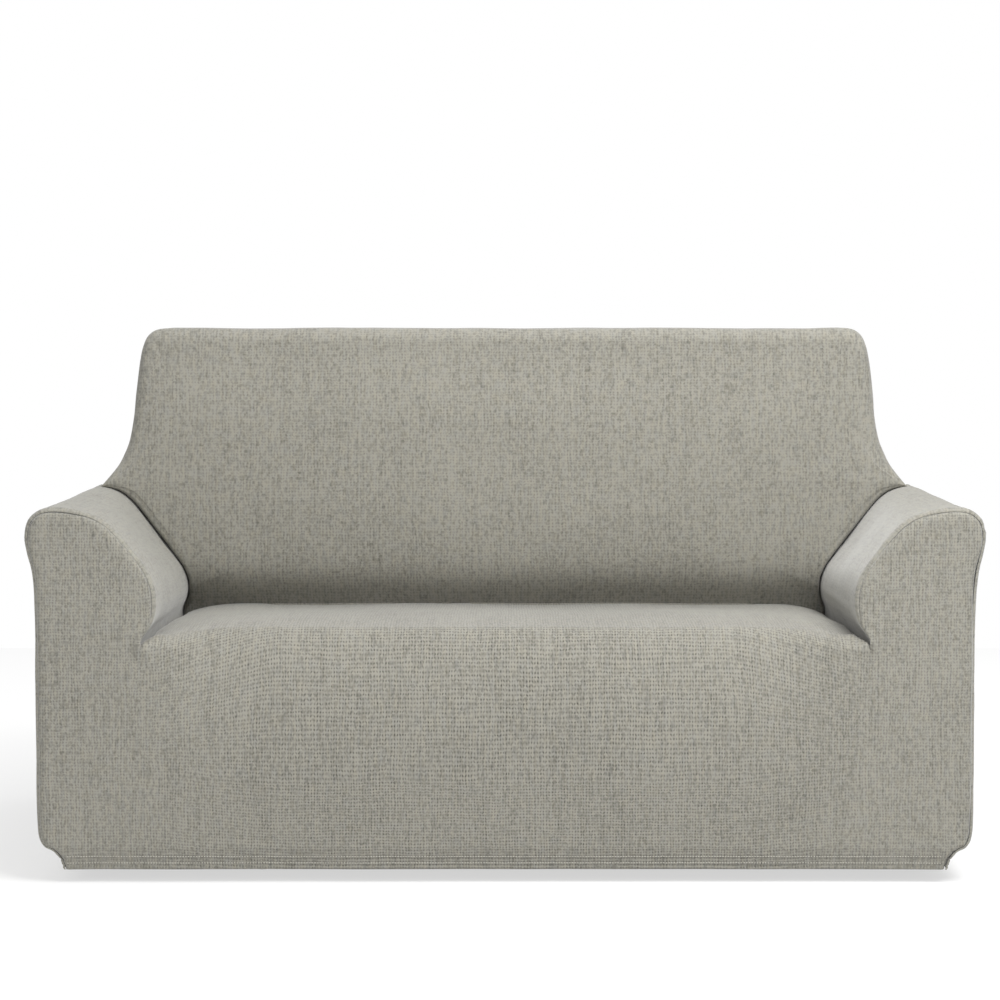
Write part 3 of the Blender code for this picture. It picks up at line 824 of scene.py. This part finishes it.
def add_face(bm, rim, depth):
    """The face inside half an outline, whose last points turn the top corner."""
    east, corner = rim[:-CORNER_POINTS], rim[-CORNER_POINTS - 1 :]
    end = corner[-1]
    top = [Vector((end.x * k / TOP_COLUMNS, end.y, end.z)) for k in range(TOP_COLUMNS)]
    north = top + corner[::-1]
    foot, head = rim[0].z, north[0].z
    runs = lengths_of(east)
    columns, rows = len(north) - 1, len(east) - 1

    def face_point(column, row):
        across, up = column / columns, row / rows
        middle = foot + (head - foot) * runs[row] / runs[-1]
        turned_down = north[column].z - head - (north[-1].z - head) * across
        x = east[row].x * north[column].x / north[-1].x
        z = middle + (east[row].z - middle) * across + turned_down * up**CORNER_FADE
        return Vector((x, depth(across, z), z)), (x, z)

    add_patch(bm, columns, rows, face_point)


def inside_depth(across, z):
    """Where the inside back's face stands, with its padding's crown."""
    up = (z - TUCK_FLOOR) / (BACK_TOP - BACK_ROUND - TUCK_FLOOR)
    low, high = smooth((up - CROWN_START) / CROWN_RISE), smooth((1 - up) / CROWN_RISE)
    return face_y(z) - BACK_CROWN * (1 - across**2) * low * high


def make_inside_back(bm):
    full = len(FULL_TURNS) + OVER_STEPS
    add_patch(bm, ON_ARM, len(FULL_TURNS), over_point)
    add_patch(bm, BACK_END - ON_ARM, full, lambda column, row: over_point(column + ON_ARM, row))
    add_top(bm, full, lambda row: over_point(BACK_END, row))
    rim = [back_edge(index, 0, TUCK_LIP_GAP) for index in range(BACK_END + 1)]
    add_face(bm, rim, inside_depth)


def make_outside_back(bm):
    add_patch(bm, REAR_END, EDGE_ROWS, lambda column, row: rear_border(column, EDGE_TURNS[row]))
    add_top(bm, EDGE_ROWS, lambda row: rear_border(REAR_END, EDGE_TURNS[row]))
    rim = [rear_border(index, 0)[0] for index in range(REAR_END + 1)]
    add_face(bm, rim, lambda across, z: REAR_Y)


# The relief of a cloth: seams, hem, creases and the soft unevenness of stretched cloth


def seam_distances(bm):
    """How far each point lies from the nearest sewn edge, which the hem isn't."""
    sewn = [vert.co for vert in bm.verts if vert.is_boundary and vert.co.z > WELD]
    tree = kdtree.KDTree(len(sewn))
    for index, point in enumerate(sewn):
        tree.insert(point, index)
    tree.balance()
    return np.array([tree.find(vert.co)[2] for vert in bm.verts])


def crease_relief(cut, creases):
    """The height that a table of creases gives each point of the flat cloth."""
    height = np.zeros(len(cut))
    for x, z, end_x, end_z, width, rise in creases:
        start = np.array((x, z))
        way = np.array((end_x, end_z)) - start
        long = np.linalg.norm(way)
        way /= long
        away = cut - start
        along = away @ way
        side = away @ np.array((-way[1], way[0]))
        past = np.maximum(np.abs(along - long / 2) - long / 2, 0.0)
        fade = max(width, FADED_SHARE * min(long, LONGEST_FADED))
        ends = np.exp(-((past / fade) ** 2))
        height += rise * ends * np.exp(-((side / width) ** 2))
    return height


def uneven(point, size, seed):
    """Smooth noise from about -1 to 1 with a given size."""
    return noise.noise(point / size + Vector((seed, 0.0, 0.0)))


def relief(bm, cut, creases, hem, seed):
    """How far each point of a cloth stands out of its smooth form."""
    away = seam_distances(bm)
    height = np.interp(away, *zip(*SEAM_SECTION))
    height += crease_relief(cut, creases)
    for vert in bm.verts:
        near = away[vert.index]
        if near < SEAM_REACH:
            run = near / PUCKER_LENGTH
            fade = math.exp(-run) * min(1.0, PUCKER_AT_SEAM + run)
            height[vert.index] += PUCKER_HEIGHT * fade * uneven(vert.co, PUCKER_LENGTH, seed)
        if hem and vert.co.z < HEM_SECTION[-1][0]:
            place = Vector((vert.co.x, vert.co.y, 0))
            wave = HEM_WAVE * uneven(place, HEM_WAVE_LENGTH, seed)
            level = max(0.0, vert.co.z + wave) if vert.co.z > WELD else 0.0
            height[vert.index] += np.interp(level, *zip(*HEM_SECTION))
        for size, rise in UNEVENNESS:
            height[vert.index] += rise * uneven(vert.co, size, seed)
    return height


def new_object(name, data):
    """An object with its mesh, light or camera, linked to the scene."""
    made = bpy.data.objects.new(name, data)
    bpy.context.scene.collection.objects.link(made)
    return made


def mesh_object(name, bm):
    """An object whose mesh is a finished bmesh."""
    mesh = bpy.data.meshes.new(name)
    bm.to_mesh(mesh)
    bm.free()
    return new_object(name, mesh)


def join_cloth(make, facing):
    """A cloth's patches, joined and facing outwards, and each point's place on the flat cloth.

    A cloth that faces the front or the rear is mirrored from its right half.
    """
    bm = bmesh.new()
    bm.verts.layers.float_vector.new("flat")
    make(bm)
    bmesh.ops.remove_doubles(bm, verts=bm.verts[:], dist=WELD)
    if not facing.x:
        geometry = bm.verts[:] + bm.edges[:] + bm.faces[:]
        bmesh.ops.mirror(bm, geom=geometry, matrix=Matrix(), merge_dist=WELD, axis="X")
    flat = bm.verts.layers.float_vector["flat"]
    bmesh.ops.recalc_face_normals(bm, faces=bm.faces[:])
    if sum(face.normal.dot(facing) * face.calc_area() for face in bm.faces) < 0:
        bmesh.ops.reverse_faces(bm, faces=bm.faces[:])
    bm.normal_update()
    bm.verts.ensure_lookup_table()
    bm.verts.index_update()
    cut = np.array([vert[flat][:2] for vert in bm.verts])
    if not facing.x:
        cut[:, 0] = np.abs(cut[:, 0]) * np.sign([vert.co.x for vert in bm.verts])
    return bm, cut


def finish_cloth(context, name, node):
    """A cloth with its relief and its weave."""
    make, facing, creases, seed, stretch, depth = CLOTHS[node]
    bm, cut = join_cloth(make, Vector(facing))
    heights = relief(bm, cut, creases, node != "inside_back", seed)
    for vert in bm.verts:
        vert.co += vert.normal * heights[vert.index]
    weave = bm.loops.layers.uv.new("weave")
    places = stretch(cut)
    for face in bm.faces:
        for loop in face.loops:
            loop[weave].uv = places[loop.vert.index]
    piece = mesh_object(name, bm)
    piece.data.shade_smooth()
    thickness = piece.modifiers.new("cloth thickness", "SOLIDIFY")
    thickness.thickness = context.scene.slipcover.cloth
    thickness.offset = -1
    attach(piece, BODY)
    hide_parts(node)
    piece.data.materials.append(cloth_material(context, depth))


# The finish of the cloth


class Shade:
    """A socket in a material, on which sums and products add their Math nodes."""

    def __init__(self, tree, socket=None):
        self.tree = tree
        self.socket = socket

    def node(self, kind, settings=(), sockets=(), output=0):
        """A new node with its settings made first, then its sockets set or linked."""
        made = self.tree.nodes.new(kind)
        for name, value in dict(settings).items():
            setattr(made, name, value)
        self.fill(made, sockets)
        return Shade(self.tree, made.outputs[output])

    def fill(self, node, sockets):
        """Links each socket of a node whose value is a shade, and sets the others."""
        for name, value in dict(sockets).items():
            if isinstance(value, Shade):
                self.tree.links.new(value.socket, node.inputs[name])
            else:
                node.inputs[name].default_value = value

    def other(self, output):
        """Another output of the same node."""
        return Shade(self.tree, self.socket.node.outputs[output])

    def math(self, operation, *values):
        return self.node("ShaderNodeMath", {"operation": operation}, enumerate(values))

    def __add__(self, other):
        return self.math("ADD", self, other)

    def __radd__(self, other):
        return self.math("ADD", other, self)

    def __sub__(self, other):
        return self.math("SUBTRACT", self, other)

    def __rsub__(self, other):
        return self.math("SUBTRACT", other, self)

    def __mul__(self, other):
        return self.math("MULTIPLY", self, other)

    def __rmul__(self, other):
        return self.math("MULTIPLY", other, self)

    def __truediv__(self, other):
        return self.math("DIVIDE", self, other)

    def __pow__(self, other):
        return self.math("POWER", self, other)

    def floor(self):
        return self.math("FLOOR", self)

    def wave(self):
        """0 to 1 and back for each whole number, and 1 at the whole numbers."""
        return self.math("COSINE", self * (2 * math.pi)) * 0.5 + 0.5

    def held(self):
        """The value kept from 0 to 1."""
        return self.node("ShaderNodeClamp", sockets={"Value": self})

    def noise(self, across, along, detail=2.0):
        """Noise from 0 to 1 over two values, about one wave to each whole number."""
        place = self.node("ShaderNodeCombineXYZ", sockets={0: across, 1: along})
        sockets = {"Vector": place, "Scale": 1.0, "Detail": detail}
        return self.node("ShaderNodeTexNoise", {"noise_dimensions": "2D"}, sockets)

    def speckle(self, across, along):
        """An even random value from 0 to 1 for each pair of whole numbers."""
        place = self.node("ShaderNodeCombineXYZ", sockets={0: across, 1: along})
        return self.node("ShaderNodeTexWhiteNoise", {"noise_dimensions": "2D"}, {"Vector": place})

    def blend(self, amount, first, second):
        """The colour between two, by an amount."""
        sockets = {MIX_AMOUNT: amount, MIX_FIRST: first, MIX_SECOND: second}
        return self.node("ShaderNodeMix", {"data_type": "RGBA"}, sockets, MIX_RESULT)


def new_finish(name):
    """A material with one Principled shader: the material, a shade and the shader."""
    material = bpy.data.materials.new(name)
    material.use_nodes = True
    tree = material.node_tree
    shader = tree.nodes["Principled BSDF"]
    shader.inputs["Metallic"].default_value = 0.0
    return material, Shade(tree), shader


def rgba(colour):
    return (*colour, 1.0)


def weave_finish(name, settings, depth):
    """The melange stretch weave: rows of small floats with ribs and slubs."""
    material, shade, shader = new_finish(name)
    place = shade.node("ShaderNodeUVMap", {"uv_map": "weave"})
    u = shade.node("ShaderNodeSeparateXYZ", sockets={0: place})
    v = u.other(1)
    drift = shade.noise(u * WAVER_ACROSS, v * WAVER_ALONG)
    sway = shade.noise(u * WAVER_ALONG + SWAY_AWAY, v * WAVER_ACROSS)
    column = u / settings.column_pitch + (sway - 0.5) * WAVER
    row = v / settings.row_pitch + (drift - 0.5) * WAVER
    row_number = (row + 0.5).floor()
    zigzag = (column * 0.5).wave() * 2.0 - 1.0
    gap = (row + zigzag * ZIGZAG).wave() ** GAP_SHARPNESS
    rib = column.wave()
    hole = gap * (1.0 - rib)
    slub = shade.noise(column * SLUB_ACROSS, v / settings.slub_length, detail=3.0)
    streak = shade.noise(
        column * STREAK_ACROSS + STREAK_AWAY[0],
        v / settings.slub_length * STREAK_ALONG + STREAK_AWAY[1],
    )
    fleck_column = column * FLECK_ACROSS + FLECK_AWAY
    fleck = shade.noise(fleck_column, v / settings.fleck_length, detail=1.0)
    calm = 1.0 - ((u * u - CALM_START) / CALM_RUN).held() * CALM
    blotch = shade.noise(u * BLOTCH + BLOTCH_AWAY, v * BLOTCH * 0.5)
    cell = shade.speckle((column + 0.5).floor(), row_number)
    thread = shade.speckle((column * 2.0).floor(), (row * 2.0).floor() + THREAD_AWAY)
    # Painted shade: the holes and gaps between the floats are painted darker the deeper the weave,
    # softened by the calm, and a shallower weave is painted lighter; the flecks, slubs, streaks,
    # blotches, cells and threads are the yarn's random tone
    tone = (
        settings.brightness
        + LESS_GAP_SHADE * (1 - depth)
        - hole * cell * calm * (HOLE_DEPTH * depth)
        - gap * calm * (GAP_DEPTH * depth)
        + (rib - 0.5) * (RIB_LIFT * depth)
        + (fleck - 0.5) * FLECK_LIFT
        + (slub - 0.5) * SLUB_LIFT
        + (streak - 0.5) * STREAK_LIFT
        + (blotch - 0.5) * BLOTCH_LIFT
        + (cell - 0.5) * CELL_LIFT
        + (thread - 0.5) * THREAD_LIFT
    )
    hue = shade.noise(
        column * HUE_ACROSS + HUE_AWAY[0], row * HUE_ALONG + HUE_AWAY[1], detail=3.0
    )
    hue = (hue - 0.5) * HUE_SPREAD + 0.5
    light = shade.blend(hue.held(), rgba(settings.cool), rgba(settings.warm))
    colour = shade.blend(tone.held(), rgba(settings.shadow), light)
    height = (rib * RIB_HEIGHT + thread * THREAD_HEIGHT - hole) * (settings.relief * depth)
    bump = {"Strength": settings.bump, "Distance": 1.0, "Height": height}
    normal = shade.node("ShaderNodeBump", sockets=bump)
    sockets = {
        "Base Color": colour,
        "Normal": normal,
        "Roughness": settings.roughness,
        "Specular IOR Level": CLOTH_SPECULAR,
        "Sheen Weight": settings.sheen,
        "Sheen Roughness": SHEEN_ROUGHNESS,
    }
    shade.fill(shader, sockets)
    return material


def thread_finish(settings):
    """Sewing thread: a pale twist."""
    material, shade, shader = new_finish("sewing thread")
    place = shade.node("ShaderNodeTexCoord", output=OBJECT_PLACE)
    sockets = {"Vector": place, "Scale": TWIST_SCALE, "Detail": 1.0}
    twist = shade.node("ShaderNodeTexNoise", sockets=sockets)
    pale, dark = rgba(settings.thread), rgba([TWIST_DARK * part for part in settings.thread])
    colour = shade.blend(twist, dark, pale)
    shade.fill(shader, {"Base Color": colour, "Roughness": THREAD_ROUGHNESS})
    return material


# Settings


def length(name, default, description):
    return bpy.props.FloatProperty(
        name=name, description=description, default=default, unit="LENGTH", precision=4
    )


def number(name, default, description):
    return bpy.props.FloatProperty(name=name, description=description, default=default)


def colour(name, default, description):
    limits = {"size": 3, "min": 0.0, "max": 1.0, "subtype": "COLOR"}
    return bpy.props.FloatVectorProperty(
        name=name, description=description, default=default, **limits
    )


class SlipcoverSettings(PropertyGroup):
    """Sizes and colours of the cloth and its sewing."""

    cloth: length("Cloth", 0.0012, "Thickness of the stretch cloth")
    row_pitch: length("Row", 0.0074, "Height of one row of the weave")
    column_pitch: length("Column", 0.0048, "Width of one float of the weave")
    fleck_length: length("Fleck", 0.013, "Length of a lighter or darker fleck")
    slub_length: length("Slub", 0.110, "Length of the thick parts of the yarn")
    warm: colour("Warm yarn", (0.256, 0.241, 0.195), "Beige yarn of the melange")
    cool: colour("Cool yarn", (0.228, 0.226, 0.205), "Grey yarn of the melange")
    # Painted shade: the deep colour is the shade painted into the weave's holes and gaps, and also
    # the dark end of the yarn's random tone
    shadow: colour("Deep yarn and gap shade", (0.036, 0.034, 0.027), "Colour between the floats")
    brightness: number("Brightness", 0.90, "Share of light yarn")
    relief: length("Relief", 0.0006, "Height of the floats over the gaps")
    bump: number("Bump", 0.35, "Strength of the weave's relief")
    roughness: number("Roughness", 0.9, "Roughness of the cloth")
    sheen: number("Sheen", 0.30, "Fuzz of the yarn, seen at a low angle")
    thread: colour("Thread", (0.600, 0.580, 0.510), "Sewing thread of the hem")
    stitch: length("Stitch", 0.0034, "Length of one hem stitch")
    stitch_pitch: length("Stitch pitch", 0.0045, "Distance between hem stitches")
    thread_radius: length("Thread radius", 0.0006, "Radius of the sewing thread")


class StudioSettings(PropertyGroup):
    """Sizes and strengths of the studio."""

    floor_drop: length("Floor drop", 0.023, "How far the hem hangs above the floor")
    key_power: number("Key light", 84.0, "Power of the light high on the right")
    top_power: number("Top light", 80.0, "Power of the light overhead")
    fill_power: number("Fill light", 56.0, "Power of the light in front")
    world: number("Room light", 0.42, "Strength of the white room on the cloth")
    floor_glow: number("Floor glow", 0.70, "Light that the floor gives off")


# Pieces


def front_stretch(cut):
    """The front's weave, with taller rows in the middle of the apron."""
    share = np.clip((np.abs(cut[:, 0]) - WEAVE_MIDDLE) / (WEAVE_ARM - WEAVE_MIDDLE), 0, 1)
    slack = 1 + (WEAVE_SLACK - 1) * share * share * (3 - 2 * share)
    low = np.minimum(cut[:, 1] - WEAVE_LOW, 0) * (WEAVE_SLACK - slack)
    return np.column_stack((cut[:, 0], WEAVE_LEVEL + (cut[:, 1] - WEAVE_LEVEL) * slack + low))


def even_stretch(cut):
    """The backs' weave, with shorter and wider floats."""
    return cut * np.array(EVEN_WEAVE)


def arm_stretch(cut):
    """The arms' weave, whose rows run along the seams."""
    return cut[:, ::-1] * np.array(EVEN_WEAVE)


def make_left_arm(bm):
    make_arm(bm)
    bmesh.ops.scale(bm, vec=Vector((-1, 1, 1)), verts=bm.verts[:])


# How each cloth is made
CLOTHS = {
    # node: shape, the way it faces, creases, seed of its unevenness, its weave's stretch and depth
    "front_panel": (make_front, (0, -1, 0), FRONT_CREASES, 3.1, front_stretch, APRON_WEAVE),
    "arm_panel_left": (make_left_arm, (-1, 0, 0), LEFT_ARM_CREASES, 7.7, arm_stretch, ARM_WEAVE),
    "arm_panel_right": (make_arm, (1, 0, 0), RIGHT_ARM_CREASES, 11.3, arm_stretch, ARM_WEAVE),
    "inside_back": (make_inside_back, (0, -1, 0), BACK_CREASES, 17.9, even_stretch, BACK_WEAVE),
    "outside_back": (make_outside_back, (0, 1, 0), REAR_CREASES, 23.5, even_stretch, BACK_WEAVE),
}


class SLIPCOVER_OT_front(Operator):
    """The seat, its apron and both arm fronts, one cloth with its hem"""

    bl_idname = "slipcover.front"
    bl_label = "Front cloth"

    def execute(self, context):
        finish_cloth(context, "front_cloth", "front_panel")
        return {"FINISHED"}


class SLIPCOVER_OT_arms(Operator):
    """The band of cloth over each arm, with its hem"""

    bl_idname = "slipcover.arms"
    bl_label = "Arm cloths"

    def execute(self, context):
        for side in ("left", "right"):
            finish_cloth(context, f"arm_cloth_{side}", f"arm_panel_{side}")
        return {"FINISHED"}


class SLIPCOVER_OT_inside_back(Operator):
    """The cloth over the backrest's face, sides and top"""

    bl_idname = "slipcover.inside_back"
    bl_label = "Inside back cloth"

    def execute(self, context):
        finish_cloth(context, "inside_back_cloth", "inside_back")
        return {"FINISHED"}


class SLIPCOVER_OT_outside_back(Operator):
    """The rear wall of the cover, with its hem"""

    bl_idname = "slipcover.outside_back"
    bl_label = "Outside back cloth"

    def execute(self, context):
        finish_cloth(context, "outside_back_cloth", "outside_back")
        return {"FINISHED"}


def cloth_material(context, depth):
    """The weave with a depth, made once for all the cloths that have it."""
    name = f"melange stretch weave {round(100 * depth)}"
    made = bpy.data.materials.get(name)
    return made or weave_finish(name, context.scene.slipcover, depth)


def cloth_tree(name):
    """A cloth's surface, for finding where a needle meets it."""
    mesh = bpy.data.objects[name].data
    points = [vert.co for vert in mesh.vertices]
    return BVHTree.FromPolygons(points, [tuple(face.vertices) for face in mesh.polygons])


def add_stitch(bm, place, normal, along, settings):
    """One stitch of thread lying on the cloth."""
    made = bmesh.ops.create_icosphere(bm, subdivisions=1, radius=settings.thread_radius)
    across = normal.cross(along).normalized()
    frame_of_stitch = Matrix((along, across, normal)).transposed().to_4x4()
    long = settings.stitch / 2 / settings.thread_radius
    bmesh.ops.scale(bm, vec=Vector((long, 1, 1)), verts=made["verts"])
    bmesh.ops.transform(bm, matrix=frame_of_stitch, verts=made["verts"])
    bmesh.ops.translate(bm, vec=place, verts=made["verts"])


class SLIPCOVER_OT_hem_stitches(Operator):
    """Two rows of stitches round the hem"""

    bl_idname = "slipcover.hem_stitches"
    bl_label = "Hem stitches"

    def execute(self, context):
        settings = context.scene.slipcover
        threads = thread_finish(settings)
        for name, cloth, way, along in HEM_SIDES:
            tree = cloth_tree(cloth)
            way, along = Vector(way), Vector(along)
            reach = HEM_HALF_WIDTH if along.x else HEM_HALF_DEPTH
            bm = bmesh.new()
            for level in HEM_ROWS:
                for k in range(int(2 * reach / settings.stitch_pitch)):
                    shift = settings.stitch_pitch * (k + 0.5) - reach
                    start = along * shift - way * NEEDLE_START + Vector((0, 0, level))
                    place, normal, _, _ = tree.ray_cast(start, way)
                    if place is None:
                        continue
                    slope = (along - normal * along.dot(normal)).normalized()
                    add_stitch(bm, place, normal, slope, settings)
            piece = mesh_object(name, bm)
            piece.data.shade_smooth()
            piece.data.materials.append(threads)
            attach(piece, BODY)
        return {"FINISHED"}


# Studio


def add_light(name, place, target, size, power):
    """A soft square light that faces a point."""
    light = bpy.data.lights.new(name, "AREA")
    light.shape = "RECTANGLE"
    light.size, light.size_y = size
    light.energy = power
    lamp = new_object(name, light)
    lamp.location = place
    way = Vector(target) - Vector(place)
    lamp.rotation_euler = way.to_track_quat("-Z", "Y").to_euler()


def add_floor(settings):
    bm = bmesh.new()
    bmesh.ops.create_grid(bm, x_segments=1, y_segments=1, size=FLOOR_SIZE)
    drop = Vector((0, 0, -settings.floor_drop))
    bmesh.ops.translate(bm, vec=drop, verts=bm.verts[:])
    floor = mesh_object("floor", bm)
    material, shade, shader = new_finish("studio floor")
    place = shade.node("ShaderNodeTexCoord", output=OBJECT_PLACE)
    across = shade.node("ShaderNodeSeparateXYZ", sockets={0: place})
    back = across.other(1)
    # Painted light: the floor's glow, dimmer near the cover and white further out
    far = ((across * across + back * back - FLOOR_FAR_START) / FLOOR_FAR_RUN).held()
    glow = shade.blend(far, rgba(FLOOR_NEAR), rgba(WHITE))
    sockets = {
        "Base Color": rgba(FLOOR_COLOUR),
        "Roughness": 1.0,
        "Specular IOR Level": 0.0,
        "Emission Color": glow,
        "Emission Strength": settings.floor_glow,
    }
    shade.fill(shader, sockets)
    floor.data.materials.append(material)


def add_world(settings):
    """A white room that lights the cloth less than it shows behind it."""
    world = bpy.data.worlds.new("white room")
    world.use_nodes = True
    shade = Shade(world.node_tree)
    seen = shade.node("ShaderNodeLightPath")
    strength = seen * (1.0 - settings.world) + settings.world
    background = world.node_tree.nodes["Background"]
    shade.fill(background, {"Color": rgba(WHITE), "Strength": strength})
    bpy.context.scene.world = world


def add_camera():
    camera = bpy.data.cameras.new("camera")
    camera.lens = CAMERA_LENS
    camera.sensor_width = CAMERA_SENSOR
    seat = new_object("camera", camera)
    seat.location = CAMERA_PLACE
    seat.rotation_euler = (math.radians(90 - CAMERA_PITCH), 0, 0)
    bpy.context.scene.camera = seat


class SLIPCOVER_OT_studio(Operator):
    """Floor, soft lights, white room and camera"""

    bl_idname = "slipcover.studio"
    bl_label = "Studio"

    def execute(self, context):
        settings = context.scene.studio
        add_floor(settings)
        add_world(settings)
        powers = {
            "key": settings.key_power,
            "top": settings.top_power,
            "fill": settings.fill_power,
        }
        for name, place, target, size in LIGHTS:
            add_light(f"{name} light", place, target, size, powers[name])
        add_camera()
        context.scene.view_settings.view_transform = "Standard"
        return {"FINISHED"}


class SLIPCOVER_PT_panel(Panel):
    """The cover's pieces, in the order they are made"""

    bl_label = "Slipcover"
    bl_idname = "SLIPCOVER_PT_panel"
    bl_space_type = "VIEW_3D"
    bl_region_type = "UI"
    bl_category = "Slipcover"

    def draw(self, context):
        for operator in OPERATORS:
            self.layout.operator(operator.bl_idname)
        for group in (context.scene.slipcover, context.scene.studio):
            box = self.layout.box()
            for name in group.__annotations__:
                box.prop(group, name)


OPERATORS = (
    SLIPCOVER_OT_front,
    SLIPCOVER_OT_arms,
    SLIPCOVER_OT_inside_back,
    SLIPCOVER_OT_outside_back,
    SLIPCOVER_OT_hem_stitches,
    SLIPCOVER_OT_studio,
)
CLASSES = (SlipcoverSettings, StudioSettings, *OPERATORS, SLIPCOVER_PT_panel)


def register():
    for cls in CLASSES:
        bpy.utils.register_class(cls)
    bpy.types.Scene.slipcover = bpy.props.PointerProperty(type=SlipcoverSettings)
    bpy.types.Scene.studio = bpy.props.PointerProperty(type=StudioSettings)


def unregister():
    del bpy.types.Scene.studio
    del bpy.types.Scene.slipcover
    for cls in reversed(CLASSES):
        bpy.utils.unregister_class(cls)


def main():
    register()
    for operator in OPERATORS:
        group, name = operator.bl_idname.split(".")
        getattr(getattr(bpy.ops, group), name)()


if __name__ == "__main__":
    main()
